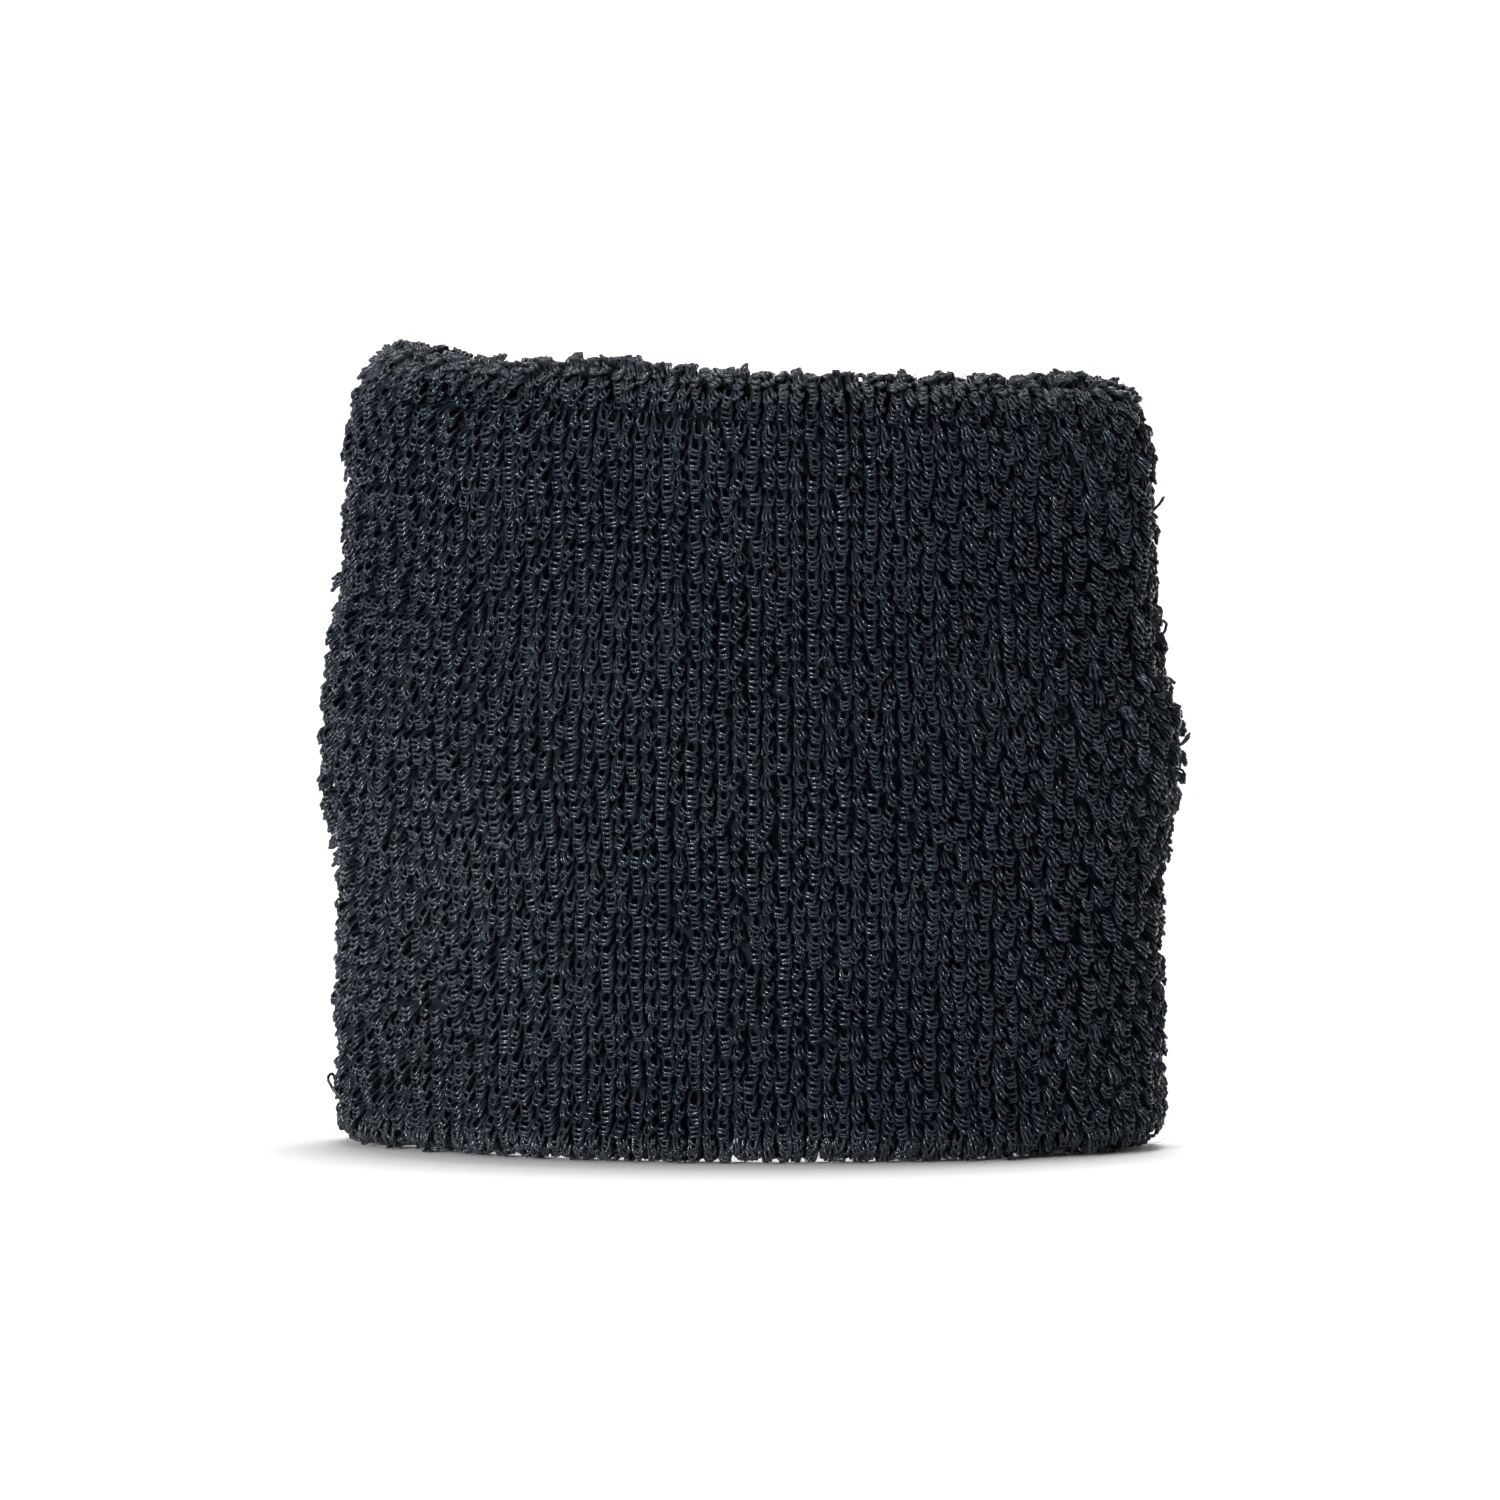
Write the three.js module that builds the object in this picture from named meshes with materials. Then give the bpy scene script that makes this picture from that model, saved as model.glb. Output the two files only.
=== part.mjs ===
// Sweat wristband. One knitted terry tube is turned in on itself at both rims, so that its two
// cut ends meet on the wrist side at mid-height, where an overlocked seam closes it into a ring.
// Each layer is a ground knit that carries terry loops on one face and a laid-in elastic yarn on
// the other. The two layers lie back to back, so the elastic yarns run between them.
// Millimetres, +Z up. The origin is the middle of the base, and +X runs from fold to fold.
import * as THREE from "three";
import { ParametricGeometry } from "three/addons/geometries/ParametricGeometry.js";

// The band standing on its bottom rim, opened to a flattened oval.
const bandHeight = 76;
const openingWidth = 66; // inside, from fold to fold
const openingDepth = 39; // inside, from front to back
const foldRadius = 7; // inside of the bend at each fold
const topDraw = 1; // how far each side draws in from mid-height to the top rim
const seamSwell = 1.9; // how far the stiff seam holds each side out
const swellReach = 9.5; // how far up and down that swelling fades

// The two layers of terry, and what lies between them.
const pileHeight = 1.3;
const groundThickness = 0.55;
const elasticDiameter = 0.4;
const elasticPitch = 8; // rise of the elastic yarn in one turn round the band
const clearance = 0.3; // between pieces that touch

// The rolled edges.
const rimHeight = 5;
const rimFlat = 1.4; // level strip along the crest of each rim

// The closing seam.
const seamHeight = bandHeight / 2;
const lipReach = 3; // how far the two lips stand out from the wrist face
const lipThickness = 2; // one layer of terry, squeezed by the stitches
const threadDiameter = 0.3;
const stitchesRound = 48;

// Fineness of the faceted surfaces.
const panelSteps = 8; // along the front, and along the back
const foldSteps = 4; // round each fold
const heightStep = 5;
const crestSteps = 3; // round each corner of a rim
const rounding = 1e-6; // a turn this close to a corner is on it

// Places through the wall, counted outwards from the wrist face.
const layerThickness = pileHeight + clearance + groundThickness;
const innerYarn = layerThickness + clearance + elasticDiameter / 2;
const outerYarn = innerYarn + elasticDiameter + clearance;
const wall = outerYarn + innerYarn;
const groundInset = pileHeight + clearance;
const rimRadius = (wall - rimFlat) / 2;

// Heights of the zones.
const wallBottom = rimHeight + clearance;
const wallTop = bandHeight - wallBottom;
const lipGap = clearance / 2;
const lowerLipBottom = seamHeight - lipGap - lipThickness;
const upperLipTop = seamHeight + lipGap + lipThickness;

const pileMaterial = () =>
  new THREE.MeshStandardMaterial({ color: 0x24282e, roughness: 0.95, metalness: 0 });
const groundMaterial = () =>
  new THREE.MeshStandardMaterial({ color: 0x1a1d22, roughness: 0.9, metalness: 0 });
const elasticMaterial = () =>
  new THREE.MeshStandardMaterial({ color: 0x15171a, roughness: 0.6, metalness: 0 });
const threadMaterial = () =>
  new THREE.MeshStandardMaterial({ color: 0x1d2025, roughness: 0.7, metalness: 0 });

// The wrist face's outline at the base is four arcs that run into each other: a wide one along the
// front and the back, and a tight one round each fold. Each corner of the faceted outline keeps its
// arc's centre, radius and direction, so that every surface through the wall is the same outline,
// moved straight out.
function outlineCorners() {
  const foldCentre = openingWidth / 2 - foldRadius;
  const halfDepth = openingDepth / 2;
  const panelRadius =
    (foldCentre ** 2 + halfDepth ** 2 - foldRadius ** 2) / (2 * (halfDepth - foldRadius));
  const panelCentre = panelRadius - halfDepth;
  const panelHalfAngle = Math.atan2(foldCentre, panelCentre);
  const foldHalfAngle = Math.PI / 2 - panelHalfAngle;
  const arcs = [
    { x: 0, y: panelCentre, radius: panelRadius, middle: -Math.PI / 2, half: panelHalfAngle },
    { x: foldCentre, y: 0, radius: foldRadius, middle: 0, half: foldHalfAngle },
    { x: 0, y: -panelCentre, radius: panelRadius, middle: Math.PI / 2, half: panelHalfAngle },
    { x: -foldCentre, y: 0, radius: foldRadius, middle: Math.PI, half: foldHalfAngle },
  ];
  return arcs.flatMap(({ x, y, radius, middle, half }, arc) => {
    const steps = arc % 2 ? foldSteps : panelSteps;
    return Array.from({ length: steps }, (_, i) => {
      const angle = middle - half + (2 * half * i) / steps;
      return { x, y, radius, cos: Math.cos(angle), sin: Math.sin(angle) };
    });
  });
}
const corners = outlineCorners();

// How far the whole wall stands outside its straight place at a height: the seam swells it, and it
// draws in towards the top.
function swell(z) {
  const fromSeam = (z - seamHeight) / swellReach;
  const towardsTop = Math.max(0, (z - seamHeight) / (bandHeight - seamHeight));
  return seamSwell * Math.exp(-(fromSeam ** 2)) - topDraw * towardsTop;
}

// A point of the wall: turns round the band, depth out from the wrist face, and height. A level
// piece gives the one height whose swell all of it shares.
function wallPoint(turns, depth, z, target, swellAt = z) {
  const step = (turns - Math.floor(turns)) * corners.length;
  const first = Math.floor(step + rounding) % corners.length;
  const share = Math.max(0, step - first);
  const [a, b] = [corners[first], corners[(first + 1) % corners.length]];
  const [ra, rb] = [a, b].map((corner) => corner.radius + depth + swell(swellAt));
  return target.set(
    THREE.MathUtils.lerp(a.x + ra * a.cos, b.x + rb * b.cos, share),
    THREE.MathUtils.lerp(a.y + ra * a.sin, b.y + rb * b.sin, share),
    z,
  );
}

// A closed ring: a closed profile of [depth, height] points carried round the band. The profile
// may depend on the turn, as a looping thread's does.
function ring(profileAt, { around = corners.length, swellAt } = {}) {
  const count = profileAt(0).length;
  return new ParametricGeometry(
    (u, v, target) => {
      const [depth, z] = profileAt(u % 1)[Math.round(v * count) % count];
      wallPoint(u % 1, depth, z, target, swellAt);
    },
    around,
    count,
  );
}

// The profile of an upright sheet between two depths, stepped in height so that it follows the
// swelling.
function sheetProfile(inside, outside, low, high) {
  const steps = Math.ceil((high - low) / heightStep);
  const heights = Array.from({ length: steps + 1 }, (_, i) => low + ((high - low) * i) / steps);
  return [
    ...heights.map((z) => [outside, z]),
    ...heights.toReversed().map((z) => [inside, z]),
  ];
}

// The line over a rim at an inset from its faces, as [depth, height above the rim's foot] points:
// up the wrist side, round a corner to the level crest, round the other corner and down.
function crestLine(inset) {
  const radius = rimRadius - inset;
  const quarter = (centre, from) =>
    Array.from({ length: crestSteps + 1 }, (_, i) => {
      const angle = from - (Math.PI / 2) * (i / crestSteps);
      return [
        centre + radius * Math.cos(angle),
        rimHeight - rimRadius + radius * Math.sin(angle),
      ];
    });
  return [
    [inset, 0],
    ...quarter(rimRadius, Math.PI),
    ...quarter(wall - rimRadius, Math.PI / 2),
    [wall - inset, 0],
  ];
}

// A rim's skin between two insets, turned over for the bottom rim.
function rimProfile(inset, thickness, atTop) {
  const upright = [...crestLine(inset).toReversed(), ...crestLine(inset + thickness)];
  if (atTop) return upright.map(([depth, z]) => [depth, bandHeight - rimHeight + z]);
  return upright.map(([depth, z]) => [depth, rimHeight - z]).toReversed();
}

// The elastic yarn in one layer: a spiral that climbs evenly, with a step at each corner of the
// band's outline.
class ElasticSpiral extends THREE.Curve {
  constructor(depth, low, high) {
    super();
    const margin = clearance + elasticDiameter;
    this.depth = depth;
    this.low = low + margin;
    this.rise = high - low - 2 * margin;
    this.turns = Math.max(1, Math.floor(this.rise / elasticPitch));
  }
  getPoint(t, target = new THREE.Vector3()) {
    return wallPoint(this.turns * t, this.depth, this.low + this.rise * t, target);
  }
  // Equal steps of the curve fall on the outline's corners, so it isn't spaced by length.
  getUtoTmapping(u) {
    return u;
  }
}

// A yarn's section is a square set on its corner.
function yarnSection(diameter) {
  const r = diameter / 2;
  return [[r, 0], [0, r], [-r, 0], [0, -r]];
}

function spiralYarn(depth, low, high) {
  const path = new ElasticSpiral(depth, low, high);
  const corner = ([x, y]) => new THREE.Vector2(x, y);
  return new THREE.ExtrudeGeometry(new THREE.Shape(yarnSection(elasticDiameter).map(corner)), {
    extrudePath: path,
    steps: path.turns * corners.length,
  });
}

// A yarn or thread that goes once round the band at one height, while its depth may wander.
function yarnRing(diameter, depthAt, z, around) {
  const section = yarnSection(diameter);
  return ring((turn) => section.map(([dx, dz]) => [depthAt(turn) + dx, z + dz]), { around });
}

function mesh(name, geometry, material) {
  const piece = new THREE.Mesh(geometry, material);
  piece.name = name;
  return piece;
}

function group(...pieces) {
  return new THREE.Group().add(...pieces);
}

// The ground knit and the pile of one upright layer, with the elastic yarn on its back.
function terryWall(name, faceOutside, low, high) {
  const depthBehindFace = (distance) => (faceOutside ? wall - distance : distance);
  const sheet = (front, back) => {
    const [inside, outside] = [front, back].map(depthBehindFace).toSorted((a, b) => a - b);
    return ring(() => sheetProfile(inside, outside, low, high));
  };
  const yarn = spiralYarn(depthBehindFace(innerYarn), low, high);
  return group(
    mesh(`${name}_pile`, sheet(0, pileHeight), pileMaterial()),
    mesh(`${name}_ground_knit`, sheet(groundInset, layerThickness), groundMaterial()),
    mesh(`${name}_elastic_yarn`, yarn, elasticMaterial()),
  );
}

// A rolled edge: the fabric's fold, with one turn of the elastic yarn lying in it.
function rolledRim(name, atTop) {
  const yarnHeight = atTop ? bandHeight - innerYarn : innerYarn;
  const skin = (inset, thickness) => ring(() => rimProfile(inset, thickness, atTop));
  const yarn = yarnRing(elasticDiameter, () => wall / 2, yarnHeight);
  return group(
    mesh(`${name}_pile`, skin(0, pileHeight), pileMaterial()),
    mesh(`${name}_ground_knit`, skin(groundInset, groundThickness), groundMaterial()),
    mesh(`${name}_elastic_yarn`, yarn, elasticMaterial()),
  );
}

// The two cut ends, turned towards the wrist side by side and held by three overlock threads: a
// needle thread along the foot of the lips, and a looper thread that works to and fro on each lip.
function closingSeam() {
  const lip = (low) => {
    const profile = sheetProfile(-lipReach, layerThickness, low, low + lipThickness);
    return ring(() => profile, { swellAt: seamHeight });
  };
  const r = threadDiameter / 2;
  const needleDepth = -(clearance + r);
  const looperFoot = needleDepth - threadDiameter - clearance;
  const looperMiddle = (looperFoot + r - lipReach) / 2;
  const looperSwing = looperFoot - looperMiddle;
  const around = 2 * stitchesRound;
  const zigzag = (turn) => {
    const step = Math.round(turn * around);
    return looperMiddle + (step % 2 ? -looperSwing : looperSwing);
  };
  const above = upperLipTop + clearance + r;
  const below = lowerLipBottom - clearance - r;
  const thread = (depthAt, z, steps) => yarnRing(threadDiameter, depthAt, z, steps);
  return group(
    mesh("seam_lip_lower", lip(lowerLipBottom), pileMaterial()),
    mesh("seam_lip_upper", lip(seamHeight + lipGap), pileMaterial()),
    mesh("overlock_needle_thread", thread(() => needleDepth, above), threadMaterial()),
    mesh("overlock_upper_looper_thread", thread(zigzag, above, around), threadMaterial()),
    mesh("overlock_lower_looper_thread", thread(zigzag, below, around), threadMaterial()),
  );
}

const wristband = new THREE.Group();
wristband.name = "wristband";
wristband.add(
  terryWall("outer_wall", true, wallBottom, wallTop),
  terryWall("inner_upper_wall", false, upperLipTop + clearance, wallTop),
  terryWall("inner_lower_wall", false, wallBottom, lowerLipBottom - clearance),
  rolledRim("top_rim", true),
  rolledRim("bottom_rim", false),
  closingSeam(),
);

export default wristband;
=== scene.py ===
import math

import bpy
import numpy as np
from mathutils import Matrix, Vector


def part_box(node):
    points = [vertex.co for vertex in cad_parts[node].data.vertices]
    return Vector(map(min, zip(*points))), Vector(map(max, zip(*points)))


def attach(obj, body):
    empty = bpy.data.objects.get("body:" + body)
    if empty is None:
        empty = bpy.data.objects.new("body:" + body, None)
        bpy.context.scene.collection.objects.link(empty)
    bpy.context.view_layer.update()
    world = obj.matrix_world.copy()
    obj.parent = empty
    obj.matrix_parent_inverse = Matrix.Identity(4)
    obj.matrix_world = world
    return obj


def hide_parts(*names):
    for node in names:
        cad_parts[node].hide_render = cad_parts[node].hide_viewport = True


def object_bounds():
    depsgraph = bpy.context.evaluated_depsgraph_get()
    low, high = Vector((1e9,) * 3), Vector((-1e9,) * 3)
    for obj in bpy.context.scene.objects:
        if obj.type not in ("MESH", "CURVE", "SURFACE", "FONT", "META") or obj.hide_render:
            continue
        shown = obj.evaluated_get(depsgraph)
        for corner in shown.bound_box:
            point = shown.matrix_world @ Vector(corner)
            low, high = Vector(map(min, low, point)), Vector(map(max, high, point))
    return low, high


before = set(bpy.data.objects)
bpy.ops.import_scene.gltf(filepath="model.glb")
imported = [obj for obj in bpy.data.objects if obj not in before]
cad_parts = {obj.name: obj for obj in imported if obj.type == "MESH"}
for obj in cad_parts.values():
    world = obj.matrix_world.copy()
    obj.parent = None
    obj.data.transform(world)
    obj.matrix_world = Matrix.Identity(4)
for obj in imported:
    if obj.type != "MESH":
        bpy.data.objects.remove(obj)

cad_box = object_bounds()
scene = bpy.context.scene


# ---------------------------------------------------------------- Studio
# A pale seamless sweep: a level floor that curves up into a wall behind the band. One soft light
# stands low in front to the left, another hangs overhead and a little behind, and the room is
# pale all round. The camera looks almost level, from a long way off.
def sweep_backdrop(width=3.0, front=-1.6, back=0.7, bend=0.35, top=1.8, steps=16):
    angles = np.linspace(-math.pi / 2, 0, steps)
    profile = [(front, 0.0)]
    profile += [(back + bend * math.cos(a), bend + bend * math.sin(a)) for a in angles]
    profile += [(back + bend, top)]
    verts = [(x, y, z) for y, z in profile for x in (-width / 2, width / 2)]
    faces = [(i, i + 1, i + 3, i + 2) for i in range(0, len(verts) - 2, 2)]
    mesh = bpy.data.meshes.new("studio_sweep")
    mesh.from_pydata(verts, [], faces)
    mesh.shade_smooth()
    sweep = bpy.data.objects.new("studio_sweep", mesh)
    scene.collection.objects.link(sweep)
    paper = bpy.data.materials.new("white_paper")
    paper.use_nodes = True
    shader = paper.node_tree.nodes["Principled BSDF"]
    shader.inputs["Base Color"].default_value = (0.94, 0.93, 0.92, 1)
    shader.inputs["Roughness"].default_value = 0.9
    mesh.materials.append(paper)


def soft_light(name, place, aim, size, power):
    lamp = bpy.data.lights.new(name, "AREA")
    lamp.shape, lamp.size, lamp.energy = "DISK", size, power
    light = bpy.data.objects.new(name, lamp)
    light.location = place
    towards = np.array(aim) - np.array(place)
    light.rotation_euler = (
        math.atan2(math.hypot(towards[0], towards[1]), -towards[2]),
        0,
        math.atan2(towards[1], towards[0]) - math.pi / 2,
    )
    scene.collection.objects.link(light)


def studio_camera(azimuth=7.0, elevation=2.9, distance=1.45, view_width=0.1425, lowered=0.0004):
    middle = (cad_box[0] + cad_box[1]) / 2
    middle.z -= lowered
    lens = bpy.data.cameras.new("camera")
    lens.sensor_width = 36.0
    lens.lens = lens.sensor_width * distance / view_width
    lens.clip_start, lens.clip_end = 0.05, 20
    camera = bpy.data.objects.new("camera", lens)
    turn, rise = math.radians(azimuth), math.radians(elevation)
    camera.location = (
        middle.x + distance * math.sin(turn) * math.cos(rise),
        middle.y - distance * math.cos(turn) * math.cos(rise),
        middle.z + distance * math.sin(rise),
    )
    camera.rotation_euler = (math.pi / 2 - rise, 0, turn)
    scene.collection.objects.link(camera)
    scene.camera = camera


def pale_room(strength):
    room = bpy.data.worlds.new("pale_room")
    room.use_nodes = True
    backdrop = room.node_tree.nodes["Background"]
    backdrop.inputs["Color"].default_value = (0.93, 0.965, 1.0, 1)
    backdrop.inputs["Strength"].default_value = strength
    scene.world = room


sweep_backdrop()
soft_light("left_light", (-0.6, -1.2, 0.13), (-0.01, 0, 0.02), size=0.32, power=34)
soft_light("overhead_light", (0.05, 0.2, 1.05), (0, 0, 0.03), size=0.5, power=11)
studio_camera()
pale_room(0.34)
scene.view_settings.view_transform = "Standard"


# ---------------------------------------------------------------- Ground knit
# One knitted tube, folded in on itself at both rims, whose two cut ends turn towards the wrist at
# mid-height as the lips of the closing seam. The jersey is about half a millimetre thick, with a
# rib for each column of stitches, and it carries the terry loops on its face.
MM = 0.001
HALF_WIDTH, HALF_DEPTH, _ = np.array(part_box("bottom_rim_pile")[1]) / MM
BAND_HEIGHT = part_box("top_rim_pile")[1].z / MM
SEAM_HEIGHT = BAND_HEIGHT / 2
FOLD_RADIUS = 13.0  # bend of the oval's two ends
WALL = 6.0  # both layers together, with their pile
PILE = 1.25  # standing height of the loops
KNIT = 0.55  # thickness of the jersey
COLUMNS = 140  # stitches round the band
COURSE = 1.52  # height of a row of stitches
RIB = 0.06  # how far a column stands out
ROOT_OUT, ROOT_IN = WALL - PILE, PILE  # depths where the loops leave the two layers
RIM_BEND = (ROOT_OUT - ROOT_IN) / 2
RIM_LOW, RIM_TOP = PILE + RIM_BEND, BAND_HEIGHT - PILE - RIM_BEND
RIM_ROWS = 7
LIP_GAP = 0.55  # from the seam's middle to the back of each lip
LIP_REACH = -2.2  # depth of the cut ends, inside the wrist face
# Grey of faded yarn, also painted on as light on the top crest, the foot and low on the left front.
FADED_AND_PAINTED_LIGHT_GREY = (0.030, 0.035, 0.039, 1)
LINT_GREY = (0.05, 0.06, 0.075, 1)


def ramp(value, start, end):
    """A smooth rise from 0 to 1 as the value goes from start to end."""
    part = np.clip((value - start) / (end - start), 0, 1)
    return part * part * (3 - 2 * part)


def swell(lean, z):
    """How far the wall stands out at a height. The seam swells it, with a longer slope above it on
    the left than on the right; it draws in above, and more again where it rolls over the top."""
    from_seam = z - SEAM_HEIGHT - 1.5 + 0.8 * lean
    slope = np.where(from_seam > 0, 14.0 - 7.2 * lean, 8.5)
    bulge = (2.4 - 0.4 * lean) * np.exp(-(np.abs(from_seam / slope) ** 2.4))
    drawn_in = 0.35 * ramp(z, 44, 64) + 1.8 * ramp(z, 68, 78)
    return bulge - drawn_in + 0.5 * ramp(z, 36, 22) + 0.45 * ramp(z, 7, 2)


def outline(turn):
    """Centre, radius and direction out, of the band's outside, at each turn from the front."""
    fold_centre = HALF_WIDTH - FOLD_RADIUS
    panel_radius = (fold_centre**2 + HALF_DEPTH**2 - FOLD_RADIUS**2) / (
        2 * (HALF_DEPTH - FOLD_RADIUS)
    )
    panel_centre = panel_radius - HALF_DEPTH
    panel_half = math.atan2(fold_centre, panel_centre)
    fold_half = math.pi / 2 - panel_half
    panel = 2 * panel_half * (panel_radius - WALL / 2)
    fold = 2 * fold_half * (FOLD_RADIUS - WALL / 2)
    along = np.mod(turn, 1.0) * 2 * (panel + fold) + panel / 2
    arcs = [
        (0, panel_centre, panel_radius, -math.pi / 2, panel_half, panel),
        (fold_centre, 0, FOLD_RADIUS, 0, fold_half, fold),
        (0, -panel_centre, panel_radius, math.pi / 2, panel_half, panel),
        (-fold_centre, 0, FOLD_RADIUS, math.pi, fold_half, fold),
        (0, panel_centre, panel_radius, -math.pi / 2, panel_half, panel),
    ]
    centre = np.zeros(along.shape + (2,))
    radius, angle = np.zeros(along.shape), np.zeros(along.shape)
    start = 0.0
    for x, y, r, middle, half, length in arcs:
        here = (along >= start) & (along <= start + length)
        centre[here] = (x, y)
        radius[here] = r
        angle[here] = middle - half + 2 * half * (along[here] - start) / length
        start += length
    return centre, radius, np.stack([np.cos(angle), np.sin(angle)], -1)


def hand_unevenness(turn, z):
    """A soft, slow waviness of the whole wall, as cloth has, in millimetres out."""
    angle = 2 * math.pi * turn
    return (
        0.15 * np.sin(3 * angle - 0.11 * z + 2.1)
        + 0.15 * np.sin(5 * angle + 0.05 * z + 4.0)
        + 0.10 * np.sin(9 * angle - 0.19 * z + 1.2)
        + 0.07 * np.sin(14 * angle + 0.31 * z + 0.5)
    )


def rim_line(turn, lean, towards_back):
    """How far the top stands below its full height: level on the left, then down to the right. The
    back dips, a crest and a sag follow the left fold, and both ends round off over the folds."""
    angle = 2 * math.pi * turn
    back = ramp(towards_back, 0.0, 0.7)
    lower = 2.4 * ramp(lean, 0.06 - 0.2 * back, 0.82 - 0.1 * back)
    back_dip = 1.2 * back * ramp(lean, 0.03, 0.15) * ramp(lean, 1.0, 0.7)
    crest = 0.5 * np.exp(-(((lean - 0.055) / 0.03) ** 2)) * np.clip(towards_back + 0.5, 0, 1)
    fold_ends = 2.5 * ramp(1 - 2 * lean, 0.88, 1.0) + 1.7 * ramp(2 * lean - 1, 0.8, 1.0)
    wave = 0.12 * np.sin(7 * angle + 0.4) + 0.08 * np.sin(11 * angle + 2.2)
    sag = 0.6 * np.exp(-(((lean - 0.19) / 0.06) ** 2))
    return lower + back_dip - crest + sag + fold_ends + wave


def fabric_point(turn, depth, z):
    """The place of a point in the wall, from its turn, its depth out from the wrist face and its
    height; and the directions out and along there. The top rim rolls out over a shallow groove, and
    the foot lifts a little off the table."""
    centre, radius, out = outline(turn)
    rest = centre + (radius - WALL + depth)[..., None] * out
    lean = np.clip((rest[..., 0] / HALF_WIDTH + 1) / 2, 0, 1)
    under_roll = 1.2 * np.exp(-(((z - RIM_TOP + 0.4) / 0.85) ** 2)) * ramp(depth, 2.5, 4.0)
    under_roll = under_roll * ramp(np.abs(2 * lean - 1), 0.95, 0.65)
    moved = swell(lean, z) + hand_unevenness(turn, z) - under_roll
    flat = rest + moved[..., None] * out
    height = z - rim_line(turn, lean, rest[..., 1] / HALF_DEPTH) * (z / BAND_HEIGHT) ** 1.7
    height = height + (0.45 + 1.2 * ramp(2 * lean - 1, 0.88, 1.0)) * ramp(z, 8, 0)
    place = np.concatenate([flat, height[..., None]], -1)
    along = np.stack([-out[..., 1], out[..., 0], np.zeros(out.shape[:-1])], -1)
    return place, out, along


def rim_arc(rows, at_top):
    """Stations over a rim: depth, height, and how far the face looks out and up, row by row."""
    swing = (np.arange(rows) + 0.5) / rows * math.pi
    middle = RIM_TOP if at_top else RIM_LOW
    outward = np.cos(swing) if at_top else -np.cos(swing)
    upward = np.sin(swing) if at_top else -np.sin(swing)
    return np.stack(
        [WALL / 2 + RIM_BEND * outward, middle + RIM_BEND * upward, outward, upward], -1
    )


def wall_rows(low, high, outside, pitch=COURSE):
    """Stations up an upright layer, in courses of about the given pitch."""
    rows = max(1, round((high - low) / pitch))
    height = low + (np.arange(rows) + 0.5) / rows * (high - low)
    depth, side = (ROOT_OUT, 1.0) if outside else (ROOT_IN, -1.0)
    return np.stack([height * 0 + depth, height, height * 0 + side, height * 0], -1)


def lip_rows(depths, upper):
    """Stations across a seam lip, whose face looks up or down."""
    depths = np.asarray(depths, float)
    way = 1.0 if upper else -1.0
    flat = depths * 0
    return np.stack([depths, flat + SEAM_HEIGHT + way * (LIP_GAP + KNIT), flat, flat + way], -1)


def place_at(turn, station):
    """Places of stations at turns, with the way off the cloth's face and the way along it."""
    station = np.broadcast_to(station, np.broadcast_shapes(turn.shape + (4,), station.shape))
    turn = np.broadcast_to(turn, station.shape[:-1])
    depth, height, side, upward = np.moveaxis(station, -1, 0)
    place, out, along = fabric_point(turn, depth, height)
    face = np.concatenate([out * side[..., None], upward[..., None]], -1)
    return place, face, along


def link_mesh(name, mesh):
    piece = bpy.data.objects.new(name, mesh)
    scene.collection.objects.link(piece)
    return piece


def add(tree, kind, sockets=(), **settings):
    """Adds a node, sets its properties, and fills its sockets with values or links."""
    node = tree.nodes.new(kind)
    for key, value in settings.items():
        setattr(node, key, value)
    for key, value in dict(sockets).items():
        inputs = node.inputs
        socket = inputs[key] if isinstance(key, int) else next(
            s for s in inputs if s.enabled and s.name == key
        )
        if isinstance(value, bpy.types.NodeSocket):
            tree.links.new(value, socket)
        else:
            socket.default_value = value
    return node


def result(node, name=None):
    return next(s for s in node.outputs if s.enabled and name in (None, s.name))


def calc(tree, operation, *values):
    return result(add(tree, "ShaderNodeMath", dict(enumerate(values)), operation=operation))


def vector_calc(tree, operation, *values, **named):
    sockets = {**dict(enumerate(values)), **named}
    return result(add(tree, "ShaderNodeVectorMath", sockets, operation=operation))


def new_group(name, kind, inputs, outputs):
    """A node group with named sockets, and its two end nodes."""
    tree = bpy.data.node_groups.new(name, kind)
    for way, sockets in (("INPUT", inputs), ("OUTPUT", outputs)):
        for label, (socket, value) in sockets.items():
            new = tree.interface.new_socket(label, in_out=way, socket_type="NodeSocket" + socket)
            if value is not None:
                new.default_value = value
    return tree, tree.nodes.new("NodeGroupInput"), tree.nodes.new("NodeGroupOutput")


def dye_group():
    """How evenly the cloth took its dye: slow, faint patches, and a fine speckle of lint."""
    tree, given, out = new_group(
        "dye_and_lint",
        "ShaderNodeTree",
        {"Depth": ("Float", 0.2), "Patch Scale": ("Float", 90.0)},
        {"Strength": ("Float", None), "Lint": ("Float", None)},
    )
    place = result(add(tree, "ShaderNodeTexCoord"), "Object")
    patches = add(
        tree,
        "ShaderNodeTexNoise",
        {"Vector": place, "Scale": given.outputs["Patch Scale"], "Detail": 3.0},
    )
    swing = calc(tree, "MULTIPLY_ADD", patches.outputs[0], 2.0, -1.0)
    strength = calc(tree, "MULTIPLY_ADD", swing, given.outputs["Depth"], 1.0)
    specks = add(tree, "ShaderNodeTexNoise", {"Vector": place, "Scale": 2600.0, "Detail": 1.0})
    lint = add(tree, "ShaderNodeMapRange", {0: specks.outputs[0], 1: 0.62, 2: 0.74})
    tree.links.new(strength, out.inputs["Strength"])
    tree.links.new(result(lint), out.inputs["Lint"])
    return tree


def blend(tree, share, first, second):
    """One colour mixed into another."""
    sockets = {0: share, 6: first, 7: second}
    return result(add(tree, "ShaderNodeMix", sockets, data_type="RGBA"))


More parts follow.
